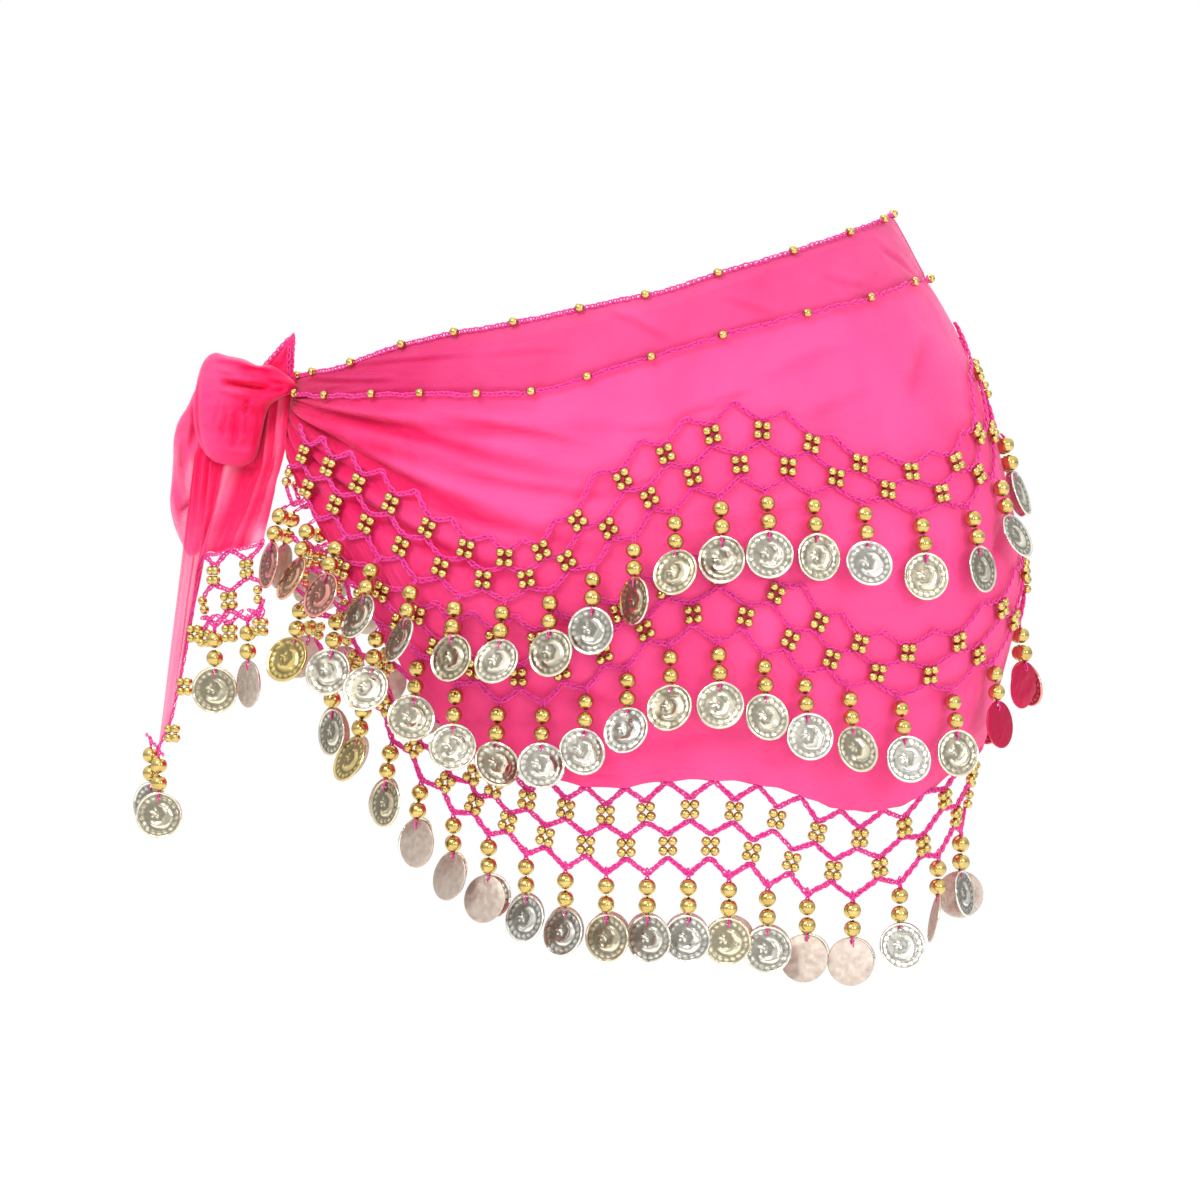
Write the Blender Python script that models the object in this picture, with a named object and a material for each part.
"""Belly dance hip scarf, tied at the wearer's hip, with three rows of coin fringe.

The scarf is hollow, as it hangs on a general figure.  Its origin is in the middle of the figure,
a little above the front of the waistband: +Z is up, -Y is the front, and the knot is at -X.
A place on the scarf is given by its angle round the figure (0 at the front, -90 at the knot, 90 at the
other hip), its height in millimetres, and how far it stands out from the figure.  The back half is the
mirror image of the front half.  Every length below is in millimetres.
"""
import math

import bmesh
import bpy
from mathutils import Vector

MM = 0.001                # one millimetre in metres
GAP = 0.3                 # between neighbouring pieces
CLOTH = 1.2               # wall of the panel
BAND_CLOTH = 1.6          # wall of the waistband, which is folded double
LAY_OFF = 0.6             # from the cloth to the inner side of what is sewn on it

CHAIN = 1.7               # crocheted chain, high and thick
CLUSTER_RISE = 2.8        # a cluster of four small beads, from its inner to its outer side
CLUSTER_HALF = 3.75       # half the width of a cluster
CELL = 19.8               # from one dangle to the next along the front
CELL_GROWTH = 11.0        # how much wider the cells are drawn over the hip
HANG_NET_OFF = -2.9       # inner side of the net that hangs free under the hem
HEM_GAP = 1.0             # from the hem down to the chain that is hooked into it
STEEP_SLANT = 0.28        # how far dangles lean out where their chain is steep, so coins pass beads
OVER_CLOTH = 0.7          # where a dangle's inner side passes bare cloth
OVER_CHAIN = 3.2          # the same over a row's sewn chain
OVER_ROW = 4.2            # the same over the net of the row below
OVER_COINS = 10.4         # the same over the dangles of the row below

BEAD_1 = 5.5              # from the chain down to the middle of the upper bead
BEAD_GAP = 3.9            # from the middle of a bead to the neck under it
BEAD_2 = 13.2             # from the chain down to the middle of the lower bead
BEAD_HALF = 3.1           # half the side of a bead's square section
NECK_HALF = 1.3           # half the side between the beads
COIN_TOP = 16.8           # from the chain down to the coin's rim
COIN_RADIUS = 10.0
COIN_HALF_THICK = 0.5
COIN_CORNERS = (8, 60, 115, 180, -115, -60, -8)     # degrees round the coin, from its top

PANEL_COLUMNS = 18
PANEL_LEVELS = 10
KNOT_CROWDING = 1.2       # how much closer the panel's columns stand towards the knot
FOLD_DEPTH = 3.0          # deepest trough of the folds that run out from the knot
FOLDS = 5


def named(columns, rows):
    """Turn the rows of a table into one list for each named column."""
    return {column: [row[place] for row in rows] for place, column in enumerate(columns)}


FIGURE = named(
    ("height", "half_width", "half_depth"), (
        (-290, 133.0, 97.0),
        (-213, 142.0, 103.0),
        (-170, 153.0, 109.0),
        (-119, 163.5, 114.5),
        (-64, 154.0, 110.0),
        (-17, 137.5, 102.0),
        (21, 116.5, 89.0),
        (60, 100.0, 78.0)))

HANG = named(
    ("angle", "top", "seam", "line_1", "tip_1", "line_2", "tip_2", "hem", "tip_3"), (
        (-90, -33.0, -40.0, -47.0, -72.0, -100.0, -122.0, -50.0, -146.0),
        (-75, -32.5, -41.0, -53.0, -80.0, -102.0, -121.0, -64.0, -147.0),
        (-60, -30.5, -42.5, -60.0, -90.0, -103.0, -125.0, -86.0, -153.0),
        (-50, -25.0, -42.5, -67.0, -99.0, -106.0, -130.0, -110.0, -164.0),
        (-42, -21.0, -42.5, -75.0, -108.5, -115.0, -136.0, -137.0, -193.0),
        (-35, -18.0, -42.5, -83.5, -118.0, -125.5, -149.0, -172.0, -212.0),
        (-25, -14.7, -43.0, -99.0, -126.5, -133.0, -167.0, -195.0, -226.0),
        (-15, -10.3, -41.5, -102.0, -125.5, -134.5, -170.0, -201.5, -236.5),
        (-5, -5.2, -33.5, -73.0, -111.5, -126.0, -160.5, -205.5, -240.0),
        (5, -0.5, -26.0, -57.0, -91.3, -112.0, -145.5, -202.5, -240.5),
        (15, 6.7, -18.5, -47.5, -83.6, -107.0, -146.5, -202.5, -241.5),
        (25, 12.5, -12.5, -52.5, -83.3, -124.0, -157.0, -206.5, -246.5),
        (35, 18.0, -7.5, -65.0, -86.5, -139.0, -163.5, -214.0, -250.5),
        (45, 23.0, -3.2, -68.0, -91.0, -142.5, -167.0, -215.5, -250.5),
        (55, 27.6, 1.5, -64.5, -90.0, -137.5, -165.5, -210.5, -245.0),
        (65, 31.0, 5.3, -54.0, -82.5, -125.5, -158.5, -201.0, -237.0),
        (77, 34.5, 7.5, -29.0, -67.0, -113.0, -145.0, -193.0, -228.0),
        (90, 36.0, 9.0, -12.0, -50.0, -99.0, -131.0, -188.0, -223.0)))

# Each row of fringe: where it starts, the table columns that it follows, how far it leans
# square to its line, and the turn of each coin in degrees, from the knot to the far hip.
ROWS = {
    1: {"start": -68, "line": "line_1", "tip": "tip_1", "lean": 0.30,
        "turns": (12, 16, 10, 20, 34, 14, 12, 18, 16, 55, 30, 24, 14, -9, 10, -12, 8, -28, 20)},
    2: {"start": -61, "line": "line_2", "tip": "tip_2", "lean": 0.30,
        "turns": (-14, -18, -12, -30, -16, -38, -14, -24, 24, 26, 14, -12, 6, -8, 14, 20, -34, 24)},
    3: {"start": -60, "line": "hem", "tip": "tip_3", "lean": 0.38,
        "turns": (10, 14, 18, 15, 22, 12, 24, 28, 22, 26, 16, 12, 24, 34, 20, 28, -36, 15)},
}

# Levels of a net, from its line (0) down to the points where the dangles hang (1).
CHAIN_LEVEL = 0.06
UPPER_TOP = 0.165
UPPER_FOOT = 0.40
PEAK = 0.46
LOWER_NOTCH = 0.50
LOWER_TOP = 0.57
LOWER_FOOT = 0.80
TIP_CHAIN_TOP = 0.812
TIP_CHAIN_FALL = 0.95
FLAT_CELL, FLAT_DROP = 20, 36      # a net's cell and height while it is a flat outline

MOST_BACK, MOST_AHEAD = -12, 22    # how far, in millimetres, a net may lean along its line
SLOPE_REACH = 7.0                  # degrees to each side over which a line's slope is taken
NOTHING_UNDER = -60.0              # the row that hangs free has nothing under it

KNOT_LOBE = named(
    ("height", "left", "right", "front", "back"), (
        (-23, -180, -171, -18, -11),
        (-28, -187, -157, -25, -6),
        (-34, -188.5, -149.4, -28, -3),
        (-48, -188, -147.9, -30, -1.5),
        (-60, -183, -153.5, -27, -3),
        (-68, -178, -160, -21, -9),
        (-71, -173, -167, -17, -12)))

KNOT_LOOP = named(
    ("height", "left", "right", "front", "back"), (
        (-37, -187, -173, -2.5, 8),
        (-52, -196, -166, -4.6, 15),
        (-78, -199, -172, -4.4, 14),
        (-98, -196, -179, -1.5, 11),
        (-107, -190, -184, 2, 7)))

SHORT_END = named(
    ("height", "left", "right", "front", "back"), (
        (-32.3, -150.5, -147.3, -15.3, -12.3),
        (-28.1, -157.6, -147, -16.3, -10.3),
        (-21.5, -152.4, -145.7, -14, -10),
        (-14.5, -146.5, -145, -12.5, -11.5)))

# The tail's fold lines, from its long left edge to its right edge.
TAIL = named(
    ("top_x", "top_y", "top_z", "foot_x", "foot_y", "foot_z"), (
        (-188, -9.5, -61.5, -203.0, -7, -190),
        (-184, -13.5, -64.5, -199.5, -8.5, -174),
        (-179, -13.0, -70.0, -192.5, -10, -140),
        (-173.5, -16.5, -73.5, -184.5, -14, -112),
        (-168, -15.5, -73.5, -177.0, -26, -108),
        (-162, -18.8, -70.0, -167.0, -33, -106),
        (-157.7, -18.1, -64.4, -157.5, -45, -104)))
TAIL_LEVELS = 6
TAIL_CLOTH = 1.6          # wall of the tail, measured the way that it faces

TAIL_OUTWARD = Vector((-0.62, -0.78, 0))      # the way that the tail faces
TAIL_NET_START = 0.52     # where its net starts across the tail
TAIL_NET_DROP = 30
TAIL_TURNS = (-25, 20)
TIP_STEP = Vector((-4.0, 9.0, 4.0))           # from one dangle at the tail's point to the next
TIP_TURNS = (60, 25)


def read(table, column, place):
    """Read a column of a table on a smooth curve through its rows, level at both ends."""
    keys = list(table.values())[0]
    values = table[column]
    place = min(max(place, keys[0]), keys[-1])
    slot = max(index for index in range(len(keys) - 1) if keys[index] <= place)

    def slope(index):
        if index in (0, len(keys) - 1):
            return 0.0
        return (values[index + 1] - values[index - 1]) / (keys[index + 1] - keys[index - 1])

    width = keys[slot + 1] - keys[slot]
    part = (place - keys[slot]) / width
    start, end = values[slot], values[slot + 1]
    return ((2 * part ** 3 - 3 * part ** 2 + 1) * start
            + (part ** 3 - 2 * part ** 2 + part) * width * slope(slot)
            + (3 * part ** 2 - 2 * part ** 3) * end
            + (part ** 3 - part ** 2) * width * slope(slot + 1))


def ease(low, high, value):
    """Rise smoothly from 0 at low to 1 at high."""
    part = min(max((value - low) / (high - low), 0.0), 1.0)
    return part * part * (3 - 2 * part)


def on_figure(angle, height, out, side):
    """A point that stands out from the figure, in millimetres; side is 1 in front, -1 behind."""
    turn = math.radians(angle)
    across = (read(FIGURE, "half_width", height) + out) * math.sin(turn)
    depth = (read(FIGURE, "half_depth", height) + out) * math.cos(turn)
    return Vector((across, -side * max(depth, GAP / 2), height))


def step_length(angle):
    """Millimetres along the widest part of the figure for one degree."""
    turn = math.radians(angle)
    wide, deep = max(FIGURE["half_width"]), max(FIGURE["half_depth"])
    return math.hypot(wide * math.cos(turn), deep * math.sin(turn)) * math.radians(1)


def finish(name, bm, material):
    """Scale a mesh to metres, close its edges, turn it outwards and put it in the scene."""
    bmesh.ops.remove_doubles(bm, verts=bm.verts, dist=0.01)
    bmesh.ops.recalc_face_normals(bm, faces=bm.faces)
    bmesh.ops.scale(bm, vec=(MM, MM, MM), verts=bm.verts)
    mesh = bpy.data.meshes.new(name)
    bm.to_mesh(mesh)
    bm.free()
    mesh.materials.append(material)
    piece = bpy.data.objects.new(name, mesh)
    scarf.objects.link(piece)
    return piece


def material(name, colour, roughness, metallic=0.0):
    """A plain finish."""
    finish_of = bpy.data.materials.new(name)
    finish_of.use_nodes = True
    shader = finish_of.node_tree.nodes["Principled BSDF"]
    shader.inputs["Base Color"].default_value = (*colour, 1.0)
    shader.inputs["Roughness"].default_value = roughness
    shader.inputs["Metallic"].default_value = metallic
    return finish_of


def sheet(name, columns, levels, place, thickness, cloth):
    """A wall laid by place(across, down, out), with across and down from 0 to 1.

    Its outer and inner sides are two grids, joined round their edges.
    """
    bm = bmesh.new()
    sides = []
    for out in (0.0, -thickness):
        grid = bmesh.ops.create_grid(bm, x_segments=columns, y_segments=levels, size=0.5)["verts"]
        for vert in grid:
            vert.co = place(vert.co.x + 0.5, 0.5 - vert.co.y, out)
        sides.append(grid)
    inner_of = dict(zip(*sides))
    for edge in [edge for edge in bm.edges if edge.is_boundary and edge.verts[0] in inner_of]:
        start, end = edge.verts
        bm.faces.new((start, end, inner_of[end], inner_of[start]))
    return finish(name, bm, cloth)


def column_angle(across):
    """The angle of a place across a half of the scarf; columns stand closer near the knot."""
    return -90 + 180 * across ** KNOT_CROWDING


def panel(side):
    """The main cloth, from the waistband seam to the hem, with troughs that run out of the knot."""
    def place(across, down, out):
        angle = column_angle(across)
        upper = read(HANG, "seam", angle) - GAP
        height = upper + (read(HANG, "hem", angle) - upper) * down
        fade = ease(-92, -78, angle) * (1 - ease(-65, 0, angle))
        trough = FOLD_DEPTH * fade * (1 - math.cos(2 * math.pi * FOLDS * down)) / 2
        return on_figure(angle, height, out - trough, side)
    return place


def hem_edge(angle):
    """The height of the panel's lower edge, which is straight from column to column."""
    place = ((min(max(angle, -90), 90) + 90) / 180) ** (1 / KNOT_CROWDING) * PANEL_COLUMNS
    slot = min(int(place), PANEL_COLUMNS - 1)
    before, after = (column_angle(index / PANEL_COLUMNS) for index in (slot, slot + 1))
    part = (angle - before) / (after - before)
    return read(HANG, "hem", before) * (1 - part) + read(HANG, "hem", after) * part


def waistband(side):
    """The folded band over the seam."""
    def place(across, down, out):
        angle = column_angle(across)
        upper, lower = read(HANG, "top", angle), read(HANG, "seam", angle)
        return on_figure(angle, upper + (lower - upper) * down, out, side)
    return place


def quads_between(bm, ring, following, skip=()):
    """Join two rings of the same length, leaving out the sides that are named in skip."""
    count = len(ring)
    for index in range(count):
        if index not in skip:
            after = (index + 1) % count
            bm.faces.new((ring[index], ring[after], following[after], following[index]))


def edging(name, column, side, rise, inner):
    """A crocheted chain sewn along an edge: rise is from the edge to the chain's foot."""
    bm = bmesh.new()
    rings = []
    for step in range(PANEL_COLUMNS + 1):
        angle = column_angle(step / PANEL_COLUMNS)
        foot = read(HANG, column, angle) + rise
        corners = ((foot + CHAIN, inner), (foot + CHAIN / 2, inner + CHAIN), (foot, inner))
        rings.append([bm.verts.new(on_figure(angle, height, out, side)) for height, out in corners])
    for ring, following in zip(rings, rings[1:]):
        quads_between(bm, ring, following)
    bm.faces.new(rings[0])
    bm.faces.new(rings[-1])
    return finish(name, bm, thread)


def row_angles(row):
    """The angle of each dangle's column: a function of its number, and how many there are."""
    spec = ROWS[row]
    angles, counts, count = [spec["start"]], [0.0], 0.0
    step = 0.5
    while angles[-1] < 90:
        angle = angles[-1]
        rise = read(HANG, spec["tip"], angle + step) - read(HANG, spec["tip"], angle)
        length = math.hypot(step_length(angle) * step, rise)
        count += length / (CELL + CELL_GROWTH * ease(20, 50, angle))
        angles.append(angle + step)
        counts.append(count)
    cells = len(spec["turns"])
    stretch = cells / count

    def angle_at(column):
        wanted = (column + 0.5) / stretch
        slot = max(index for index in range(len(counts) - 1) if counts[index] <= max(wanted, 0.0))
        part = (wanted - counts[slot]) / (counts[slot + 1] - counts[slot])
        return min(angles[slot] + step * part, 90.0)
    return angle_at, cells


def row_net(row, side):
    """A function that lays a net's column and level on the figure, and how many columns it has."""
    spec = ROWS[row]
    angle_at, cells = row_angles(row)

    def place(column, level, out):
        tip_angle = angle_at(column)
        ahead, behind = tip_angle + SLOPE_REACH, tip_angle - SLOPE_REACH
        rise = read(HANG, spec["line"], min(ahead, 180 - ahead)) - read(HANG, spec["line"], behind)
        slope = rise / (2 * SLOPE_REACH * step_length(tip_angle))
        tip = read(HANG, spec["tip"], tip_angle)
        drop = read(HANG, spec["line"], tip_angle) - tip
        shift = min(max(spec["lean"] * -slope * drop, MOST_BACK), MOST_AHEAD) * (1 - ease(70, 90, tip_angle))
        line_angle = tip_angle + shift / step_length(tip_angle)
        line = hem_edge(line_angle) - HEM_GAP if row == 3 else read(HANG, spec["line"], line_angle)
        return on_figure(line_angle + (tip_angle - line_angle) * level, line + (tip - line) * level, out, side)
    return place, cells


def net(name, place, cells, inner, half):
    """A crocheted honeycomb: a flat outline with a hole in each cell, laid by place.

    Whole columns carry the upper clusters and the dangles; half columns carry the points that
    are sewn to the cloth and the lower clusters, and the net ends on a half column at both sides.
    """
    def scaled(points):
        return [(column * FLAT_CELL, -level * FLAT_DROP) for column, level in points]

    first, last = -0.5, cells - 0.5
    top = [(first, 0.0)]
    foot = [(last, LOWER_NOTCH), (last, LOWER_FOOT), (last - half, LOWER_FOOT), (last - half, LOWER_TOP)]
    for column in range(cells):
        top += [(column, UPPER_TOP - CHAIN_LEVEL), (column + 0.5, 0.0)]
    for column in range(cells - 1, 0, -1):
        foot += [(column, PEAK),
                 (column - 0.5 + half, LOWER_TOP), (column - 0.5 + half, LOWER_FOOT),
                 (column - 0.5 - half, LOWER_FOOT), (column - 0.5 - half, LOWER_TOP)]
    foot += [(0, PEAK), (first + half, LOWER_TOP), (first + half, LOWER_FOOT), (first, LOWER_FOOT)]
    outline = top + [(last, CHAIN_LEVEL), (last - 0.5 + half, UPPER_TOP), (last - 0.5 + half, UPPER_FOOT)]
    outline += foot
    outline += [(first, LOWER_NOTCH), (-half, UPPER_FOOT), (-half, UPPER_TOP), (first, CHAIN_LEVEL)]
    holes = [[(column + 0.5, CHAIN_LEVEL), (column + 1 - half, UPPER_TOP), (column + 1 - half, UPPER_FOOT),
              (column + 0.5, LOWER_NOTCH), (column + half, UPPER_FOOT), (column + half, UPPER_TOP)]
             for column in range(cells - 1)]

    curve = bpy.data.curves.new(name, "CURVE")
    curve.dimensions = "2D"
    curve.fill_mode = "BOTH"
    curve.extrude = 0.5
    for loop in [outline] + holes:
        spline = curve.splines.new("POLY")
        spline.points.add(len(loop) - 1)
        for point, (across, down) in zip(spline.points, scaled(loop)):
            point.co = (across, down, 0, 1)
        spline.use_cyclic_u = True
    flat = bpy.data.objects.new(name + "_flat", curve)
    scarf.objects.link(flat)
    bpy.context.view_layer.update()
    mesh = bpy.data.meshes.new_from_object(flat.evaluated_get(bpy.context.evaluated_depsgraph_get()))
    bpy.data.objects.remove(flat)
    bm = bmesh.new()
    bm.from_mesh(mesh)
    bpy.data.meshes.remove(mesh)
    bmesh.ops.remove_doubles(bm, verts=bm.verts, dist=0.001)
    for vert in bm.verts:
        column, level = vert.co.x / FLAT_CELL, -vert.co.y / FLAT_DROP
        upper = abs(column - round(column)) < half + 0.02 and UPPER_TOP - 0.01 < level < UPPER_FOOT + 0.01
        lower = level > LOWER_TOP - 0.01
        rise = CLUSTER_RISE if upper or lower else CHAIN
        vert.co = place(column, level, inner + (rise if vert.co.z > 0 else 0))
    return finish(name, bm, thread)


def reach_out(root, outward, under, turn):
    """How much a dangle slants out for its beads and its turned coin to clear what lies under it."""
    coin_half = COIN_RADIUS * abs(math.sin(math.radians(turn))) + COIN_HALF_THICK
    slant = under.least
    for down, half in ((BEAD_1, BEAD_HALF), (BEAD_2, BEAD_HALF), (COIN_TOP + COIN_RADIUS, coin_half),
                       (COIN_TOP + 2 * COIN_RADIUS - 2, COIN_HALF_THICK)):
        height = root.z - down
        slant = max(slant, (under(height) + half - (root.dot(outward) - under.base(height))) / down)
    return slant


class Under:
    """What lies under a dangle: how far it stands out at a height, and the figure's own place."""

    def __init__(self, row, angle, side, outward):
        self.row, self.angle, self.side, self.outward = row, angle, side, outward
        rise = read(HANG, ROWS[row]["tip"], angle + 4) - read(HANG, ROWS[row]["tip"], angle - 4)
        self.least = STEEP_SLANT * ease(0.6, 1.3, abs(rise) / (8 * step_length(angle)))

    def base(self, height):
        return on_figure(self.angle, height, 0, self.side).dot(self.outward)

    def __call__(self, height):
        def at(column):
            return read(HANG, column, self.angle)
        if self.row == 3:
            return NOTHING_UNDER
        if self.row == 2:
            return OVER_CHAIN if height < at("hem") + 3 else OVER_CLOTH
        if height < at("tip_2") - 1:
            return OVER_COINS
        return OVER_ROW if height < at("line_2") + 3 else OVER_CLOTH


def dangle(bm, root_ring, across, outward, slant, turn):
    """Two beads and a coin, grown out of a square of four corners in a chain's foot."""
    root = sum((vert.co for vert in root_ring), Vector()) / 4
    down = (Vector((0, 0, -1)) + outward * slant).normalized()
    out = (outward - down * outward.dot(down)).normalized()

    def square(distance, half):
        return [bm.verts.new(root + down * distance + across * half * x + out * half * y)
                for x, y in ((-1, 1), (1, 1), (1, -1), (-1, -1))]

    rings = [root_ring, square(BEAD_1, BEAD_HALF), square(BEAD_1 + BEAD_GAP, NECK_HALF), square(BEAD_2, BEAD_HALF)]
    swing = math.radians(turn)
    width = across * math.cos(swing) + out * math.sin(swing)
    face = out * math.cos(swing) - across * math.sin(swing)
    middle = root + down * (COIN_TOP + COIN_RADIUS)

    def rim(sign):
        return [bm.verts.new(middle + COIN_RADIUS * (width * math.sin(math.radians(corner))
                                                     - down * math.cos(math.radians(corner)))
                             + face * sign * COIN_HALF_THICK) for corner in COIN_CORNERS]

    front, back = rim(1), rim(-1)
    rings.append([front[-1], front[0], back[0], back[-1]])
    for ring, following in zip(rings, rings[1:]):
        quads_between(bm, ring, following)
    for index in range(len(front) - 1):
        bm.faces.new((front[index], front[index + 1], back[index + 1], back[index]))
    bm.faces.new(front)
    bm.faces.new(back)


def fringe(name, place, cells, inner, turns, frame_at):
    """The net's lowest chain, and the dangles that hang from its points."""
    bm = bmesh.new()
    half_root = 0.05
    stations = [(-0.5, TIP_CHAIN_TOP, None)]
    for column in range(cells):
        stations += [(column - half_root, TIP_CHAIN_FALL, column), (column + half_root, TIP_CHAIN_FALL, None),
                     (column + 0.5, TIP_CHAIN_TOP, None)]
    fall = Vector((0, 0, -CHAIN))
    rings = []
    for column, level, _ in stations:
        near, far = place(column, level, inner), place(column, level, inner + CHAIN)
        rings.append([bm.verts.new(point) for point in ((near + far) / 2, far + fall, near + fall)])
    for (_, _, number), ring, following in zip(stations, rings, rings[1:]):
        if number is None:
            quads_between(bm, ring, following)
            continue
        quads_between(bm, ring, following, skip=(1,))
        root_ring = [ring[1], following[1], following[2], ring[2]]
        root = sum((vert.co for vert in root_ring), Vector()) / 4
        across, outward, under = frame_at(number)
        turn = turns[number]
        slant = reach_out(root, outward, under, turn) if under else 0.0
        dangle(bm, root_ring, across, outward, slant, turn)
    bm.faces.new(rings[0])
    bm.faces.new(rings[-1])
    return finish(name, bm, metal)


def row_of_fringe(row, side):
    """One half of a row: its net and its dangles."""
    place, cells = row_net(row, side)
    angle_at, _ = row_angles(row)
    inner = HANG_NET_OFF if row == 3 else LAY_OFF
    half_name = "front" if side > 0 else "back"

    def frame_at(column):
        angle = angle_at(column)
        height = read(HANG, ROWS[row]["tip"], angle)
        across = on_figure(angle + 1, height, 0, side) - on_figure(angle - 1, height, 0, side)
        across = Vector((across.x, across.y, 0)).normalized()
        outward = Vector((across.y, -across.x, 0)) * side
        return across, outward, Under(row, angle, side, outward)

    net(f"net_row_{row}_{half_name}", place, cells, inner, CLUSTER_HALF / CELL)
    fringe(f"fringe_row_{row}_{half_name}", place, cells, inner, ROWS[row]["turns"], frame_at)


def gathered(name, table, cloth, ring_points, pleats, pleat_depth):
    """A bunch of gathered cloth through level rings, each with soft pleats round it."""
    bm = bmesh.new()
    rings = []
    for index in range(len(table["height"])):
        left, right = table["left"][index], table["right"][index]
        front, back = table["front"][index], table["back"][index]
        ring = []
        for step in range(ring_points):
            turn = 2 * math.pi * step / ring_points
            swell = 1 - pleat_depth * (1 - math.cos(pleats * turn)) / 2
            ring.append(bm.verts.new(((left + right) / 2 + (right - left) / 2 * math.cos(turn) * swell,
                                      (front + back) / 2 + (back - front) / 2 * math.sin(turn) * swell,
                                      table["height"][index])))
        rings.append(ring)
    for ring, following in zip(rings, rings[1:]):
        quads_between(bm, ring, following)
    bm.faces.new(rings[0])
    bm.faces.new(rings[-1])
    return finish(name, bm, cloth)


def tail_place(across, down, out):
    """The tail hangs from the knot in folds, each a straight line from its top to its foot."""
    rows = len(TAIL["top_x"]) - 1
    slot = min(int(across * rows), rows - 1)
    part = across * rows - slot

    def mix(column):
        return TAIL[column][slot] * (1 - part) + TAIL[column][slot + 1] * part
    top = Vector((mix("top_x"), mix("top_y"), mix("top_z")))
    foot = Vector((mix("foot_x"), mix("foot_y"), mix("foot_z")))
    return top.lerp(foot, down) + TAIL_OUTWARD * out


def tail_net_place(column, level, out):
    """The tail's net hangs under the level part of its hem."""
    across = TAIL_NET_START + (1 - TAIL_NET_START) * (column + 0.5) / len(TAIL_TURNS)
    return tail_place(across, 1.0, out - CHAIN / 2) + Vector((0, 0, -2 * GAP - TAIL_NET_DROP * level))


def tail_frame(_):
    """Across and outward at the tail's net, with nothing under it."""
    return Vector((-TAIL_OUTWARD.y, TAIL_OUTWARD.x, 0)), TAIL_OUTWARD, None


def tip_frame(_):
    """Across and outward at the tail's point, with nothing under it."""
    across = Vector((TIP_STEP.x, TIP_STEP.y, 0)).normalized()
    return across, Vector((-across.y, across.x, 0)), None


def tip_place(column, level, out):
    """The short chain under the tail's point."""
    rise = CHAIN * (TIP_CHAIN_TOP - level) - GAP
    return tail_place(0, 1.0, 0) + TIP_STEP * column + tip_frame(column)[1] * (out - CHAIN / 2) + Vector((0, 0, rise))


for old in list(bpy.data.objects):
    bpy.data.objects.remove(old)
scarf = bpy.data.collections.new("hip_scarf")
bpy.context.scene.collection.children.link(scarf)

chiffon = material("chiffon", (0.95, 0.05, 0.25), 0.6)
band_chiffon = material("band_chiffon", (0.75, 0.05, 0.24), 0.6)
thread = material("crochet_thread", (0.75, 0.05, 0.38), 0.7)
metal = material("gilt_and_coin_metal", (0.75, 0.62, 0.32), 0.3, 1.0)

for half, half_side in (("front", 1), ("back", -1)):
    sheet("waistband_" + half, PANEL_COLUMNS, 2, waistband(half_side), BAND_CLOTH, band_chiffon)
    sheet("panel_" + half, PANEL_COLUMNS, PANEL_LEVELS, panel(half_side), CLOTH, chiffon)
    edging("top_edging_" + half, "top", half_side, GAP, -CHAIN)
    edging("seam_edging_" + half, "seam", half_side, -CHAIN / 2, LAY_OFF)
    for row_number in ROWS:
        row_of_fringe(row_number, half_side)

gathered("knot_lobe", KNOT_LOBE, chiffon, 12, 3, 0.10)
gathered("knot_loop", KNOT_LOOP, chiffon, 10, 3, 0.12)
gathered("short_end", SHORT_END, chiffon, 6, 2, 0.05)
sheet("tail_panel", len(TAIL["top_x"]) - 1, TAIL_LEVELS, tail_place, TAIL_CLOTH, chiffon)
net("tail_net", tail_net_place, len(TAIL_TURNS), 0, 0.3)
fringe("tail_fringe", tail_net_place, len(TAIL_TURNS), 0, TAIL_TURNS, tail_frame)
fringe("tip_fringe", tip_place, len(TIP_TURNS), 0, TIP_TURNS, tip_frame)
